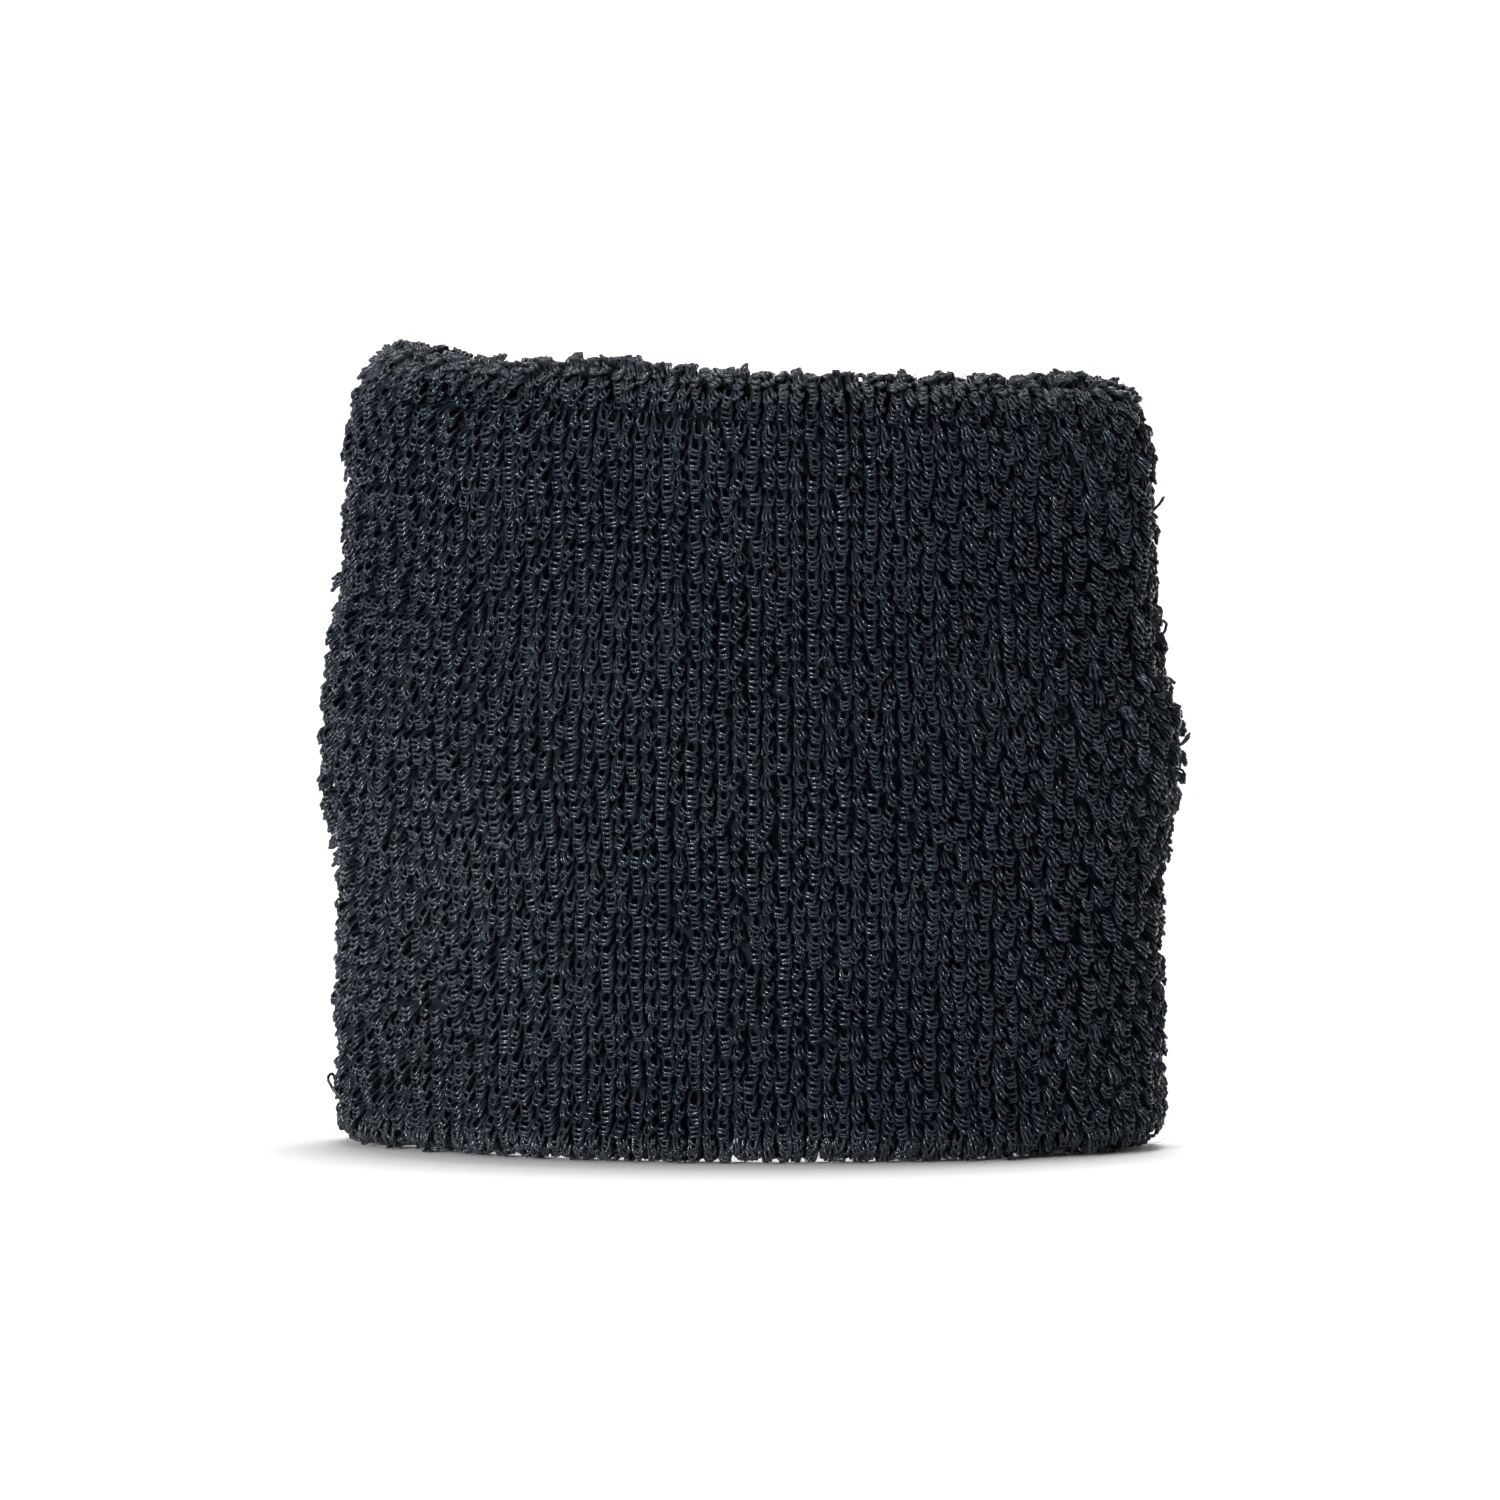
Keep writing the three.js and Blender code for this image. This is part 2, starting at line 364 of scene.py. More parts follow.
def dyed_material(name, dark, light, shade, dye, shader_values, fade_and_painted_light=None):
    """Black yarn, mixed from dark to light by the given shade: painted shade in its hollows and
    painted light on its crowns, in uneven dye, with lint, and greyer where it has faded and where
    light is painted on."""
    material = bpy.data.materials.new(name)
    material.use_nodes = True
    tree = material.node_tree
    shader = tree.nodes["Principled BSDF"]
    for key, value in shader_values.items():
        shader.inputs[key].default_value = value
    body = blend(tree, shade(tree), (*dark, 1), (*light, 1))
    dyeing = add(tree, "ShaderNodeGroup", node_tree=dye)
    dyed = vector_calc(tree, "SCALE", body, Scale=result(dyeing, "Strength"))
    if fade_and_painted_light:
        dyed = blend(tree, fade_and_painted_light(tree), dyed, FADED_AND_PAINTED_LIGHT_GREY)
    lint_cover = calc(tree, "MULTIPLY", result(dyeing, "Lint"), 0.35)
    tree.links.new(blend(tree, lint_cover, dyed, LINT_GREY), shader.inputs["Base Color"])
    return material, tree, shader


def knit_shade(tree):
    """Jersey stitches as seen from close to: fine bands across, in step with the courses. Under
    the roll of the top rim the cloth is painted darkest, as painted shade in the groove."""
    place = result(add(tree, "ShaderNodeTexCoord"), "Object")
    bands = add(
        tree,
        "ShaderNodeTexWave",
        {"Vector": place, "Scale": 210.0, "Distortion": 2.0},
        bands_direction="Z",
    )
    soft_bands = calc(tree, "MULTIPLY_ADD", result(bands, "Fac"), 0.5, 0.5)
    height = result(add(tree, "ShaderNodeSeparateXYZ", {0: place}), "Z")
    # Painted shade: above these heights, under the roll, the ground takes its darkest colour.
    blackest, unshaded = 69.2 * MM, 67.8 * MM
    outside_painted_shade = add(tree, "ShaderNodeMapRange", {0: height, 1: blackest, 2: unshaded})
    return calc(tree, "MULTIPLY", soft_bands, result(outside_painted_shade))


def ground_knit(dye):
    """The whole tube, from cut end to cut end: a closed skin, its face ribbed and its back plain."""
    lip = np.linspace(LIP_REACH, ROOT_IN - 0.7, 4)
    near_lip = LIP_GAP + KNIT + 0.6
    stations = np.concatenate(
        [
            lip_rows(lip, upper=False),
            wall_rows(RIM_LOW, SEAM_HEIGHT - near_lip, outside=False)[::-1],
            rim_arc(RIM_ROWS, at_top=False),
            wall_rows(RIM_LOW, RIM_TOP, outside=True),
            rim_arc(RIM_ROWS, at_top=True),
            wall_rows(SEAM_HEIGHT + near_lip, RIM_TOP, outside=False)[::-1],
            lip_rows(lip, upper=True)[::-1],
        ]
    )
    stitches = 2 * COLUMNS
    turn = np.arange(stitches) / stitches
    place, face, _ = place_at(turn[None, :], stations[:, None, :])
    rib = np.where(np.arange(stitches) % 2, RIB, -RIB)[None, :, None]
    layers = np.concatenate([place + face * rib, (place - face * KNIT)[::-1]])
    rows = len(layers)
    row, stitch = np.mgrid[0:rows, 0:stitches]
    next_row, next_stitch = (row + 1) % rows, (stitch + 1) % stitches
    corners = [(row, stitch), (row, next_stitch), (next_row, next_stitch), (next_row, stitch)]
    faces = np.stack([i * stitches + j for i, j in corners], -1).reshape(-1, 4)
    mesh = bpy.data.meshes.new("ground_knit")
    mesh.from_pydata((layers * MM).reshape(-1, 3).tolist(), [], faces.tolist())
    mesh.shade_smooth()
    flat = [(stitch + i, row + j) for i, j in ((0, 0), (1, 0), (1, 1), (0, 1))]
    flat_map = np.stack([np.stack([u / stitches, v / rows], -1) for u, v in flat], 2)
    mesh.uv_layers.new(name="OFBake").data.foreach_set("uv", flat_map.ravel())
    piece = link_mesh("ground_knit", mesh)
    material, _, _ = dyed_material(
        "black_ground_knit",
        # The dark colour is also the painted shade under the top rim's roll.
        (0.0012, 0.0016, 0.0024),
        (0.0066, 0.0089, 0.0130),
        knit_shade,
        dye,
        {"Roughness": 0.85, "Specular IOR Level": 0.03},
    )
    mesh.materials.append(material)
    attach(piece, "root")
    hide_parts(*[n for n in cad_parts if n.endswith("_ground_knit")])
    return piece


dye_and_lint = dye_group()
ground = ground_knit(dye_and_lint)


# ---------------------------------------------------------------- Terry pile
# Cotton loops, one to a stitch, each a bundle of soft strands that leaves the ground at one column,
# arches out and goes back in at the next. On the walls they hang down over the course below. The
# columns alternate: one shows the level crowns of its loops, the next shows them twisted aslant.
VARIANTS = 6  # loops to choose from in each kind of column
HANG = math.radians(16)
ROOTED = 0.15  # how deep the loops' feet sit in the ground
SEAM_CLEAR = 3.0  # from the seam's middle to the first row of full loops
PLY_DEPTH = 0.00003


def strand(path, radius, sides):
    """A tube along a path: its places, its quads, and where each corner is along and around it."""
    steps = len(path)
    forward = np.gradient(path, axis=0)
    forward /= np.linalg.norm(forward, axis=1, keepdims=True)
    across = np.cross(forward, (0, 0, 1.0))
    across /= np.linalg.norm(across, axis=1, keepdims=True) + 1e-9
    up = np.cross(across, forward)
    angles = 2 * math.pi * (np.arange(sides) + 0.5) / sides
    spokes = np.cos(angles)[:, None] * across[:, None] + np.sin(angles)[:, None] * up[:, None]
    places = path[:, None] + spokes * radius
    step, side = np.mgrid[0 : steps - 1, 0:sides]
    after = (side + 1) % sides
    corners = [(step, side), (step + 1, side), (step + 1, after), (step, after)]
    quads = np.stack([i * sides + j for i, j in corners], -1).reshape(-1, 4)
    spread = [(step, side), (step + 1, side), (step + 1, side + 1), (step, side + 1)]
    where = np.stack([np.stack([i / (steps - 1), j / sides], -1) for i, j in spread], 2)
    return places.reshape(-1, 3), quads, where.reshape(-1, 2)


def bundle_mesh(name, paths, radii, sides):
    """Strands side by side as one small mesh, with a map of where each point is on its strand."""
    places, quads, maps, count = [], [], [], 0
    for k, (path, radius) in enumerate(zip(paths, radii)):
        tube, faces, where = strand(path, radius, sides)
        places.append(tube)
        quads.append(faces + count)
        maps.append((where + (0, k)) / (1, len(paths)))
        count += len(tube)
    mesh = bpy.data.meshes.new(name)
    mesh.from_pydata((np.concatenate(places) * MM).tolist(), [], np.concatenate(quads).tolist())
    mesh.shade_smooth()
    mesh.uv_layers.new(name="strand").data.foreach_set("uv", np.concatenate(maps).ravel())
    return mesh


def loop_paths(rng, slant, curl, strands, steps, length, half_width, spacing, arch=0.5):
    """The middle lines of one loop's strands. The arch leaves the ground straight, curls over and
    down, and its crown is broad and nearly flat, or rounder for a higher arch value."""
    swing = np.linspace(0, math.pi, steps)
    rise = np.clip(np.sin(swing), 0, 1) ** (arch + 0.05)
    across = np.sign(np.cos(swing)) * np.abs(np.cos(swing)) ** (arch - 0.05)
    paths = []
    for k in range(strands):
        offset = k - (strands - 1) / 2
        bend = curl * rng.uniform(0.9, 1.1)
        radius = length * rng.uniform(0.9, 1.1) / bend
        half = half_width * rng.uniform(0.88, 1.1)
        tilt = rng.normal(0, 0.07)
        x = -half * across * (0.6 + 0.45 * rise)
        y = radius * np.sin(bend * rise) - ROOTED
        drop = radius * (1 - np.cos(bend * rise))
        z = offset * spacing * (0.3 + 0.7 * rise) + x * tilt
        across_x = x * math.cos(slant) - z * math.sin(slant)
        across_z = x * math.sin(slant) + z * math.cos(slant)
        path = np.stack([across_x, y, across_z - drop], -1)
        path[1:-1] += rng.normal(0, 0.035, (steps - 2, 3))
        paths.append(path)
    return paths


def loop_collection(name, seed, radius, sides, half_width, curl=0.95, **sizes):
    """Loops to choose from: level ones first, then the ones that stand aslant. The last level one
    hangs open as a plain U."""
    rng = np.random.default_rng(seed)
    collection = bpy.data.collections.new(name)
    for i in range(2 * VARIANTS):
        aslant = i >= VARIANTS
        slant = rng.normal(0.84, 0.18) if aslant else rng.normal(0, 0.08)
        width = half_width * (0.8 if aslant else 1.0)
        bend = curl * (1.5 if i == VARIANTS - 1 else rng.uniform(0.92, 1.1))
        paths = loop_paths(rng, slant, bend, half_width=width, **sizes)
        radii = radius * rng.uniform(0.9, 1.08, len(paths))
        label = f"{name}_{i:02d}"
        mesh = bundle_mesh(label, paths, radii, sides)
        collection.objects.link(bpy.data.objects.new(label, mesh))
    return collection


def pile_tree():
    """Sets a loop on every stitch point, turned to the cloth's face and hung by its droop."""
    tree, given, out = new_group(
        "terry_pile",
        "GeometryNodeTree",
        {
            "Geometry": ("Geometry", None),
            "Loops": ("Collection", None),
            "Choices": ("Int", None),
            "Seed": ("Int", None),
            "Sway": ("Vector", None),
            "Smallest": ("Float", None),
            "Largest": ("Float", None),
            "Material": ("Material", None),
        },
        {"Geometry": ("Geometry", None)},
    )

    def fact(name, kind="FLOAT"):
        return result(add(tree, "GeometryNodeInputNamedAttribute", {"Name": name}, data_type=kind))

    def chance(draw, low, high, kind="FLOAT"):
        seed = calc(tree, "ADD", given.outputs["Seed"], 1000.0 * draw)
        sockets = {"Min": low, "Max": high, "Seed": seed}
        return result(add(tree, "FunctionNodeRandomValue", sockets, data_type=kind))

    loops = add(
        tree,
        "GeometryNodeCollectionInfo",
        {"Collection": given.outputs["Loops"], "Separate Children": True, "Reset Children": True},
    )
    last = calc(tree, "SUBTRACT", given.outputs["Choices"], 1.0)
    choice = calc(tree, "ADD", fact("kind"), chance(1, 0, last, "INT"))
    turned = add(
        tree,
        "FunctionNodeAxesToRotation",
        {
            "Primary Axis": fact("face", "FLOAT_VECTOR"),
            "Secondary Axis": fact("along", "FLOAT_VECTOR"),
        },
        primary_axis="Y",
        secondary_axis="X",
    )
    placed = add(
        tree,
        "GeometryNodeInstanceOnPoints",
        {
            "Points": given.outputs["Geometry"],
            "Instance": result(loops),
            "Pick Instance": True,
            "Instance Index": choice,
            "Rotation": result(turned),
        },
    )
    drooped = calc(tree, "MULTIPLY", fact("droop"), -1.0)
    hang = result(add(tree, "ShaderNodeCombineXYZ", {"X": drooped}))
    least = vector_calc(tree, "SCALE", given.outputs["Sway"], Scale=-1.0)
    sway = chance(2, least, given.outputs["Sway"], "FLOAT_VECTOR")
    hung = add(
        tree,
        "GeometryNodeRotateInstances",
        {
            "Instances": result(placed),
            "Rotation": vector_calc(tree, "ADD", hang, sway),
            "Local Space": True,
        },
    )
    size = chance(3, given.outputs["Smallest"], given.outputs["Largest"])
    sized = add(
        tree,
        "GeometryNodeScaleInstances",
        {"Instances": result(hung), "Scale": vector_calc(tree, "SCALE", (1.0, 1.0, 1.0), Scale=size)},
    )
    toned = add(
        tree,
        "GeometryNodeStoreNamedAttribute",
        {"Geometry": result(sized), "Name": "tone", "Value": chance(4, 0.0, 1.0)},
        data_type="FLOAT",
        domain="INSTANCE",
    )
    real = result(add(tree, "GeometryNodeRealizeInstances", {"Geometry": result(toned)}))
    strand_map, cell_size = fact("strand", "FLOAT_VECTOR"), fact("cell_size", "FLOAT_VECTOR")
    own = vector_calc(tree, "MULTIPLY", strand_map, cell_size)
    in_cell = vector_calc(tree, "ADD", own, fact("cell", "FLOAT_VECTOR"))
    mapped = add(
        tree,
        "GeometryNodeStoreNamedAttribute",
        {"Geometry": real, "Name": "OFBake", "Value": in_cell},
        data_type="FLOAT2",
        domain="CORNER",
    )
    dressed = add(
        tree,
        "GeometryNodeSetMaterial",
        {"Geometry": result(mapped), "Material": given.outputs["Material"]},
    )
    tree.links.new(result(dressed), out.inputs["Geometry"])
    return tree


def grow(name, base, tree, values):
    """Runs a tree on a base object, and keeps the result as a plain mesh."""
    modifier = base.modifiers.new("grow", "NODES")
    modifier.node_group = tree
    for item in tree.interface.items_tree:
        if item.in_out == "INPUT" and item.name in values:
            modifier[item.identifier] = values[item.name]
    evaluated = base.evaluated_get(bpy.context.evaluated_depsgraph_get())
    mesh = bpy.data.meshes.new_from_object(evaluated)
    base.modifiers.remove(modifier)
    bpy.data.objects.remove(base)
    for spare in ("kind", "face", "along", "droop", "cell", "cell_size"):
        if spare in mesh.attributes:
            mesh.attributes.remove(mesh.attributes[spare])
    mesh.name = name
    return link_mesh(name, mesh)


def rest_on_table(piece, soft=0.35):
    """Loops under the bottom rim are pressed flat by the table instead of passing through it."""
    mesh = piece.data
    places = np.empty(len(mesh.vertices) * 3)
    mesh.vertices.foreach_get("co", places)
    z = places.reshape(-1, 3)[:, 2] / MM
    low = z < soft
    z[low] = soft * np.exp((z[low] - soft) / soft)
    places.reshape(-1, 3)[:, 2] = z * MM
    mesh.vertices.foreach_set("co", places)
    mesh.update()


def grow_points(name, place, face, along, kind, droop, wear_and_painted_light=0.0):
    """A point for each loop, with what the loop needs to know there. Arrays are rows by columns."""
    rows, count = place.shape[:2]
    size = np.array([1 / count, 1 / rows, 0.0])
    row, column = np.mgrid[0:rows, 0:count]
    facts = {
        "kind": np.broadcast_to(kind, (rows, count)),
        "face": face,
        "along": along,
        "droop": np.broadcast_to(droop, (rows, count)),
        "wear_and_painted_light": np.broadcast_to(wear_and_painted_light, (rows, count)),
        "cell": (np.stack([column, row, 0 * row], -1) + 0.04) * size,
        "cell_size": np.broadcast_to(size * 0.92, (rows, count, 3)),
    }
    mesh = bpy.data.meshes.new(name)
    mesh.vertices.add(rows * count)
    mesh.vertices.foreach_set("co", (place * MM).ravel())
    for key, values in facts.items():
        vector = values.ndim == 3
        layer = mesh.attributes.new(key, "FLOAT_VECTOR" if vector else "FLOAT", "POINT")
        layer.data.foreach_set("vector" if vector else "value", values.astype(float).ravel())
    return link_mesh(name, mesh)


def stitch_points(name, columns, stations, rng, jitter=0.09):
    """A grid of stitches: columns round the band by courses along the stations. They sit looser
    towards the folds, and the loops right on a rim's crest lean to either side in turn."""
    columns = np.asarray(columns)
    turn = (columns + 0.5) / COLUMNS
    place, face, along = place_at(turn[None, :], stations[:, None, :])
    looser = 1 + 1.1 * ramp(np.abs(place[..., :1]), 14, 36)
    place = place + rng.normal(0, jitter, place.shape) * looser
    height, side = stations[:, 1:2], stations[:, 2:3]
    patchy = np.sin(31 * turn + 0.21 * height) + np.sin(17 * turn - 0.33 * height + 2.0)
    droop = HANG * np.abs(side) * (1.0 + 0.35 * patchy)
    either_way = np.where((columns // 2 + np.arange(len(stations))[:, None]) % 2, 1.0, -1.0)
    downhill = np.where(np.abs(side) < 0.3, either_way, np.where(side < 0, 1.0, -1.0))[..., None]
    kind = columns[None, :] % 2 * VARIANTS
    x, y, z = np.moveaxis(place, -1, 0)
    # Painted light: greyer low on the left of the front, on the top rim's crest and along the foot;
    # the last term is a faint fade all round.
    painted_light_low_left = 0.3 * np.exp(-(((x + 27) / 17) ** 2) - ((z - 20) / 24) ** 2) * ramp(y, 12, -8)
    painted_crest_light = 0.5 * ramp(height, RIM_TOP, RIM_TOP + 1.4)
    painted_foot_light = 0.25 * ramp(height, RIM_LOW + 0.5, RIM_LOW - 1.0)
    wear_and_painted_light = np.clip(painted_light_low_left + painted_crest_light + painted_foot_light + 0.03 * (1 + 0.5 * patchy), 0, 1)
    return grow_points(name, place, face, along * downhill, kind, droop, wear_and_painted_light)


def twist_group():
    """The plies of a yarn, wound round each other along it: high on a ply, low between two."""
    tree, given, out = new_group(
        "twisted_plies",
        "ShaderNodeTree",
        {
            "Along": ("Float", 0.0),
            "Around": ("Float", 0.0),
            "Turns": ("Float", 6.0),
            "Plies": ("Float", 2.0),
        },
        {"Height": ("Float", None)},
    )
    wound = calc(tree, "MULTIPLY", given.outputs["Along"], given.outputs["Turns"])
    phase = calc(tree, "MULTIPLY_ADD", given.outputs["Around"], given.outputs["Plies"], wound)
    wave = calc(tree, "SINE", calc(tree, "MULTIPLY", phase, 2 * math.pi))
    tree.links.new(calc(tree, "MULTIPLY_ADD", wave, 0.5, 0.5), out.inputs["Height"])
    return tree


def strand_place(tree, strands):
    """Where a point is on its strand, from its map: along, and around."""
    own_map = result(add(tree, "ShaderNodeUVMap", uv_map="strand"))
    split = add(tree, "ShaderNodeSeparateXYZ", {0: own_map})
    around = calc(tree, "FRACT", calc(tree, "MULTIPLY", result(split, "Y"), float(strands)))
    return result(split, "X"), around


def ply_height(tree, twist, along, around, turns):
    """How high the yarn's plies stand at a place along and around it."""
    plied = add(tree, "ShaderNodeGroup", node_tree=twist)
    plied.inputs["Turns"].default_value = turns
    tree.links.new(along, plied.inputs["Along"])
    tree.links.new(around, plied.inputs["Around"])
    return result(plied, "Height")


def add_twist(tree, shader, height):
    """Bumps a yarn with its plies."""
    sockets = {"Strength": 0.7, "Distance": PLY_DEPTH, "Height": height}
    bump = add(tree, "ShaderNodeBump", sockets)
    tree.links.new(result(bump), shader.inputs["Normal"])


def painted_loop_shade_and_tone(tree):
    """Loops are painted darkest at their feet and lightest on their crowns, as painted shade and
    painted light, and each has its own tone.
    """
    along, _ = strand_place(tree, 1)
    # Painted shade at the feet and painted light on the crown, along each strand.
    crown = calc(tree, "SINE", calc(tree, "MULTIPLY", along, math.pi))
    tone = result(add(tree, "ShaderNodeAttribute", attribute_name="tone"), "Fac")
    return calc(tree, "MULTIPLY", crown, calc(tree, "MULTIPLY_ADD", tone, 0.6, 0.4))


def painted_light_and_wear(tree):
    """How far each loop is painted greyer: a faint fade all round, and painted light most on the top
    edge, less at the foot and low on one side of the front."""
    return result(add(tree, "ShaderNodeAttribute", attribute_name="wear_and_painted_light"), "Fac")


def terry_material(strands, dye, twist):
    material, tree, shader = dyed_material(
        f"black_terry_{strands}",
        # Dark at the feet and light on the crowns: painted shade and painted light.
        (0.0064, 0.0085, 0.0124),
        (0.0068, 0.0096, 0.0152),
        painted_loop_shade_and_tone,
        dye,
        {"Roughness": 0.22, "Specular IOR Level": 0.32, "Specular Tint": (0.82, 0.92, 1.0, 1)},
        # Greyer where faded, and painted light on the crest, the foot and the lower left.
        fade_and_painted_light=painted_light_and_wear,
    )
    along, around = strand_place(tree, strands)
    add_twist(tree, shader, ply_height(tree, twist, along, around, turns=9.0))
    return material


def grow_pile(name, node, stations, loops, sectors, material, tree, seed, **changes):
    """Grows one layer's loops, sector by sector round the band."""
    pieces = []
    for sector, columns in enumerate(np.array_split(np.arange(COLUMNS), sectors)):
        label = name if sectors == 1 else f"{name}_{sector + 1}"
        rng = np.random.default_rng(100 * seed + sector)
        base = stitch_points(label + "_stitches", columns, stations, rng)
        values = {
            "Loops": loops,
            "Choices": VARIANTS,
            "Seed": 20 * seed + sector,
            "Sway": (0.26, 0.2, 0.2),
            "Smallest": 0.9,
            "Largest": 1.14,
            "Material": material,
            **changes,
        }
        piece = grow(label, base, tree, values)
        rest_on_table(piece)
        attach(piece, "root")
        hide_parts(node)
        pieces.append(piece)
    return pieces


twisted_plies = twist_group()
terry_loops = terry_material(3, dye_and_lint, twisted_plies)
wrist_terry = terry_material(2, dye_and_lint, twisted_plies)
full_loops = loop_collection(
    "full_loop",
    11,
    radius=0.185,
    sides=4,
    half_width=0.57,
    strands=3,
    steps=6,
    length=1.75,
    spacing=0.455,
    arch=0.54,
)
rim_loops = loop_collection(
    "rim_loop",
    13,
    radius=0.19,
    sides=4,
    half_width=0.5,
    curl=1.5,
    strands=3,
    steps=6,
    length=1.75,
    spacing=0.45,
    arch=0.75,
)
wrist_loops = loop_collection(
    "wrist_loop",
    12,
    radius=0.27,
    sides=3,
    half_width=0.54,
    strands=2,
    steps=6,
    length=1.7,
    spacing=0.72,
)
pile = pile_tree()
outer_wall = wall_rows(RIM_LOW, RIM_TOP, outside=True)
inner_upper_wall = wall_rows(SEAM_HEIGHT + SEAM_CLEAR, RIM_TOP, outside=False)
inner_lower_wall = wall_rows(RIM_LOW, SEAM_HEIGHT - SEAM_CLEAR, outside=False)
top_rim = rim_arc(RIM_ROWS + 1, at_top=True)
bottom_rim = rim_arc(RIM_ROWS, at_top=False)
pile_layers = [
    ("outer_pile", "outer_wall_pile", outer_wall, full_loops, 6, terry_loops),
    ("top_rim_loops", "top_rim_pile", top_rim, rim_loops, 1, terry_loops),
    ("bottom_rim_loops", "bottom_rim_pile", bottom_rim, rim_loops, 1, terry_loops),
    ("inner_upper_pile", "inner_upper_wall_pile", inner_upper_wall, wrist_loops, 2, wrist_terry),
    ("inner_lower_pile", "inner_lower_wall_pile", inner_lower_wall, wrist_loops, 2, wrist_terry),
]
pile_pieces = []
for seed, (name, node, stations, loops, sectors, material) in enumerate(pile_layers, start=1):
    pile_pieces += grow_pile(name, node, stations, loops, sectors, material, pile, seed)


# ---------------------------------------------------------------- Seam lips
# The tube's two cut ends, side by side, turned in towards the wrist. Their pile is cut short and
# pressed down by the overlock stitches that wrap them.
LIP_ROWS = [LIP_REACH + 0.5, LIP_REACH + 1.9]
for name, node, upper, seed in (
    ("lower_lip_pile", "seam_lip_lower", False, 8),
    ("upper_lip_pile", "seam_lip_upper", True, 9),
):
    pile_pieces += grow_pile(
        name,
        node,
        lip_rows(LIP_ROWS, upper),
        wrist_loops,
        1,
        wrist_terry,
        pile,
        seed,
        Smallest=0.55,
        Largest=0.7,
    )


# ---------------------------------------------------------------- Overlock threads
# Three spun threads that hold the lips together. The needle thread runs in a line of short
# stitches, and the two loopers zigzag from it over the cut edge, one above and one below.
STITCHES_ROUND = 66
LIP_TOP = LIP_GAP + KNIT + 1.15  # half the seam's thickness, with its short pile
NEEDLE_DEPTH, LOOPER_DEPTH = -0.2, -0.35
LOOPER_SWING = LIP_REACH - 0.75 + 0.35  # from the needle line to past the cut edge


def yarn_tree():
    """Follows a line of points with a round yarn, and notes how far along and around it goes."""
    tree, given, out = new_group(
        "round_yarn",
        "GeometryNodeTree",
        {
            "Geometry": ("Geometry", None),
            "Radius": ("Float", None),
            "Sides": ("Int", None),
            "Material": ("Material", None),
        },
        {"Geometry": ("Geometry", None)},
    )
    line = result(add(tree, "GeometryNodeMeshToCurve", {"Mesh": given.outputs["Geometry"]}))
    ring = result(
        add(
            tree,
            "GeometryNodeCurvePrimitiveCircle",
            {"Resolution": given.outputs["Sides"], "Radius": given.outputs["Radius"]},
        )
    )
    noted = []
    for curve, name, measure in ((line, "run", "Length"), (ring, "around", "Factor")):
        value = result(add(tree, "GeometryNodeSplineParameter"), measure)
        note = add(
            tree,
            "GeometryNodeStoreNamedAttribute",
            {"Geometry": curve, "Name": name, "Value": value},
            data_type="FLOAT",
            domain="POINT",
        )
        noted.append(result(note))
    sweep = {"Curve": noted[0], "Profile Curve": noted[1], "Fill Caps": True}
    tube = add(tree, "GeometryNodeCurveToMesh", sweep)
    smooth = add(tree, "GeometryNodeSetShadeSmooth", {"Geometry": result(tube)})
    real = add(tree, "GeometryNodeRealizeInstances", {"Geometry": result(smooth)})
    dressed = add(
        tree,
        "GeometryNodeSetMaterial",
        {"Geometry": result(real), "Material": given.outputs["Material"]},
    )
    tree.links.new(result(dressed), out.inputs["Geometry"])
    return tree


def yarn_piece(name, places, closed, radius, sides, material, nodes, tree):
    """One yarn along a line of places, in millimetres."""
    count = len(places)
    edges = [(i, (i + 1) % count) for i in range(count if closed else count - 1)]
    mesh = bpy.data.meshes.new(name + "_line")
    mesh.from_pydata((places * MM).tolist(), edges, [])
    base = link_mesh(name + "_line", mesh)
    values = {"Radius": radius * MM, "Sides": sides, "Material": material}
    piece = grow(name, base, tree, values)
    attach(piece, "root")
    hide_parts(*nodes)
    return piece


def plied_material(name, dark, light, twist, dye, turns, shader_values):
    """A plied yarn or thread, with its twist along its length, bumped and painted darker between its
    plies as painted shade. Turns are to the metre.
    """

    def plies(tree):
        run = result(add(tree, "ShaderNodeAttribute", attribute_name="run"), "Fac")
        around = result(add(tree, "ShaderNodeAttribute", attribute_name="around"), "Fac")
        return ply_height(tree, twist, run, around, turns)

    # Painted shade: the colour is darkest between the plies and lightest on them.
    material, tree, shader = dyed_material(name, dark, light, plies, dye, shader_values)
    add_twist(tree, shader, plies(tree))
    return material


def thread_line(depth_of, height_of, steps=8):
    """A thread round the seam: depth and height as functions of the place within a stitch."""
    step = np.arange(STITCHES_ROUND * steps)
    within = (step % steps) / steps
    place, _, _ = fabric_point(
        step / (STITCHES_ROUND * steps), depth_of(within), SEAM_HEIGHT + height_of(within)
    )
    return place


def arch_between(within):
    """Up and down once in a stitch, with broad tops."""
    return np.abs(np.sin(math.pi * within)) ** 0.5


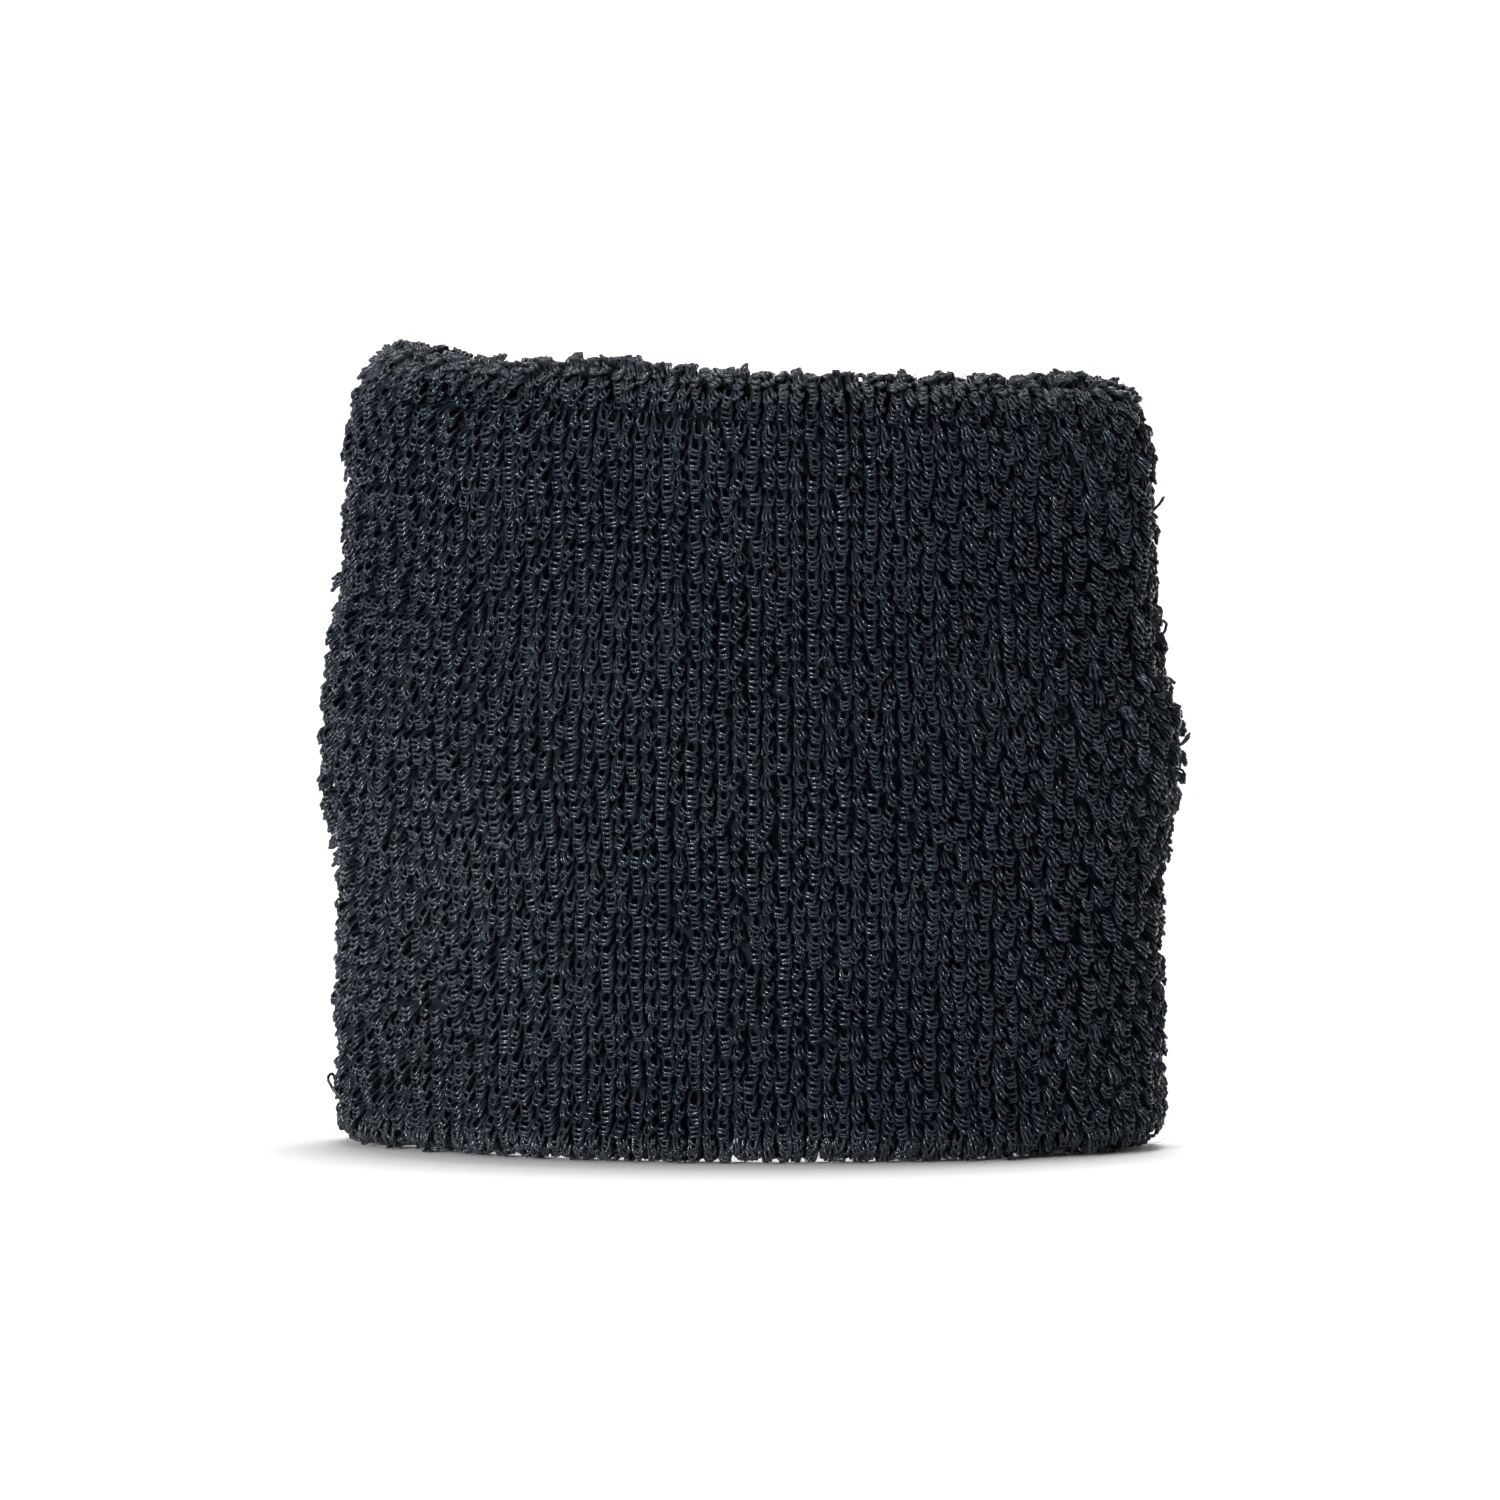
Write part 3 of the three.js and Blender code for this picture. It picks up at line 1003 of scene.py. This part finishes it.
round_yarn = yarn_tree()
spun_thread = plied_material(
    "black_spun_thread",
    # Dark between the plies, light on them: painted shade.
    (0.006, 0.008, 0.011),
    (0.016, 0.020, 0.027),
    twisted_plies,
    dye_and_lint,
    2200.0,
    {"Roughness": 0.35, "Specular IOR Level": 0.4},
)
thread_lines = {
    "needle": thread_line(
        lambda within: 0 * within + NEEDLE_DEPTH,
        lambda within: LIP_TOP - 0.9 + 0.95 * arch_between(within),
    ),
    "upper_looper": thread_line(
        lambda within: LOOPER_DEPTH + LOOPER_SWING * np.sin(math.pi * within) ** 2,
        lambda within: LIP_TOP + 0.25 - 1.9 * np.sin(math.pi * within) ** 8,
    ),
    "lower_looper": thread_line(
        lambda within: LOOPER_DEPTH + LOOPER_SWING * np.cos(math.pi * within) ** 2,
        lambda within: -LIP_TOP - 0.25 + 1.9 * np.cos(math.pi * within) ** 8,
    ),
}
threads = [
    yarn_piece(
        f"overlock_{name}",
        places,
        closed=True,
        radius=0.16,
        sides=6,
        material=spun_thread,
        nodes=[f"overlock_{name}_thread"],
        tree=round_yarn,
    )
    for name, places in thread_lines.items()
]


# ---------------------------------------------------------------- Elastic yarn
# Covered elastic, laid in behind the stitches in one unbroken spiral from cut end to cut end. It
# lies hidden between the two layers of the wall and draws the band closed on the wrist.
ELASTIC_RISE = 3.2  # along the cloth at each turn
ELASTIC_STEPS = 56  # points to a turn


def elastic_line():
    """A spiral over the inner lower wall, the bottom rim, the outer wall, the top rim and down."""
    stations = np.concatenate(
        [
            inner_lower_wall[::-1],
            bottom_rim,
            outer_wall,
            rim_arc(RIM_ROWS, at_top=True),
            inner_upper_wall[::-1],
        ]
    )
    run = np.concatenate([[0], np.cumsum(np.hypot(*np.diff(stations[:, :2], axis=0).T))])
    turns = int(run[-1] / ELASTIC_RISE)
    step = np.arange(turns * ELASTIC_STEPS)
    at = step / len(step) * run[-1]
    along = np.stack([np.interp(at, run, stations[:, k]) for k in range(4)], -1)
    place, face, _ = place_at(step / ELASTIC_STEPS, along)
    return place - face * (KNIT + 0.3)


covered_elastic = plied_material(
    "black_covered_elastic",
    # Dark between the plies, light on them: painted shade.
    (0.008, 0.009, 0.011),
    (0.018, 0.019, 0.022),
    twisted_plies,
    dye_and_lint,
    1400.0,
    {"Roughness": 0.6, "Specular IOR Level": 0.4},
)
elastic_nodes = [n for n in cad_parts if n.endswith("_elastic_yarn")]
elastic = yarn_piece(
    "elastic_yarn",
    elastic_line(),
    closed=False,
    radius=0.2,
    sides=5,
    material=covered_elastic,
    nodes=elastic_nodes,
    tree=round_yarn,
)


# ---------------------------------------------------------------- Lint and stray loops
# Loose ends of cotton fibre stand off the pile everywhere as a faint grey halo, and here and there
# a loop has been pulled long. They are the same yarn as the pile.
FIBRE_KINDS = 2
PULLED_LOOPS = [  # turn round the band, and height
    (0.742, 71.0),
    (0.756, 1.0 + RIM_LOW),
    (0.73, 44.0),
    (0.245, 63.0),
    (0.262, 39.0),
    (0.25, 12.0),
    (0.27, 50.0),
    (0.77, 26.0),
    (0.13, 20.0),
    (0.88, 60.0),
    (0.4, 33.0),
    (0.6, 55.0),
    (0.52, 14.0),
    (0.05, 47.0),
]


def fibre_collection(seed, choices=VARIANTS + FIBRE_KINDS, steps=6):
    """Fine curly fibres to choose from, numbered as the loops are: the first for the columns of
    level loops and the last for the columns between."""
    rng = np.random.default_rng(seed)
    collection = bpy.data.collections.new("lint_fibre")
    for i in range(choices):
        heading = np.cumsum(rng.normal(0, 0.55, (steps, 3)), axis=0) + (0, 1.3, 0)
        heading /= np.linalg.norm(heading, axis=1, keepdims=True)
        path = np.cumsum(heading, axis=0) * rng.uniform(0.22, 0.42) + (0, 0.5, 0)
        label = f"lint_fibre_{i:02d}"
        mesh = bundle_mesh(label, [path], [0.014], 3)
        collection.objects.link(bpy.data.objects.new(label, mesh))
    return collection


lint_material, _, _ = dyed_material(
    "grey_lint",
    (0.03, 0.034, 0.042),
    (0.06, 0.068, 0.082),
    lambda tree: result(add(tree, "ShaderNodeAttribute", attribute_name="tone"), "Fac"),
    dye_and_lint,
    {"Roughness": 0.7, "Specular IOR Level": 0.2},
)
sparse_wall = wall_rows(RIM_LOW, RIM_TOP, outside=True, pitch=3.3)
lint_stations = np.concatenate([rim_arc(4, at_top=False), sparse_wall, rim_arc(4, at_top=True)])
lint_columns = np.arange(COLUMNS)
lint_rng = np.random.default_rng(77)
lint_base = stitch_points("lint_points", lint_columns, lint_stations, lint_rng, jitter=0.5)
lint = grow(
    "lint_fibres",
    lint_base,
    pile,
    {
        "Loops": fibre_collection(78),
        "Choices": FIBRE_KINDS,
        "Seed": 79,
        "Sway": (1.1, 1.1, 1.1),
        "Smallest": 0.5,
        "Largest": 1.3,
        "Material": lint_material,
    },
)
pulled_turn, pulled_height = np.array(PULLED_LOOPS).T[:, None]
level = np.zeros_like(pulled_height)
pulled_station = np.stack([level + ROOT_OUT, pulled_height, level + 1.0, level], -1)
pulled_place, pulled_face, pulled_along = place_at(pulled_turn, pulled_station)
stray_base = grow_points(
    "stray_points",
    pulled_place,
    pulled_face,
    pulled_along,
    kind=0.0,
    droop=0.3,
)
long_loops = loop_collection(
    "stray_loop",
    82,
    radius=0.13,
    sides=5,
    half_width=0.6,
    curl=1.2,
    strands=1,
    steps=11,
    length=2.5,
    spacing=0.4,
)
stray_loops = grow(
    "stray_loops",
    stray_base,
    pile,
    {
        "Loops": long_loops,
        "Choices": VARIANTS,
        "Seed": 83,
        "Sway": (0.4, 0.4, 0.9),
        "Smallest": 0.95,
        "Largest": 1.25,
        "Material": terry_material(1, dye_and_lint, twisted_plies),
    },
)
for piece in (lint, stray_loops):
    rest_on_table(piece)
    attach(piece, "root")
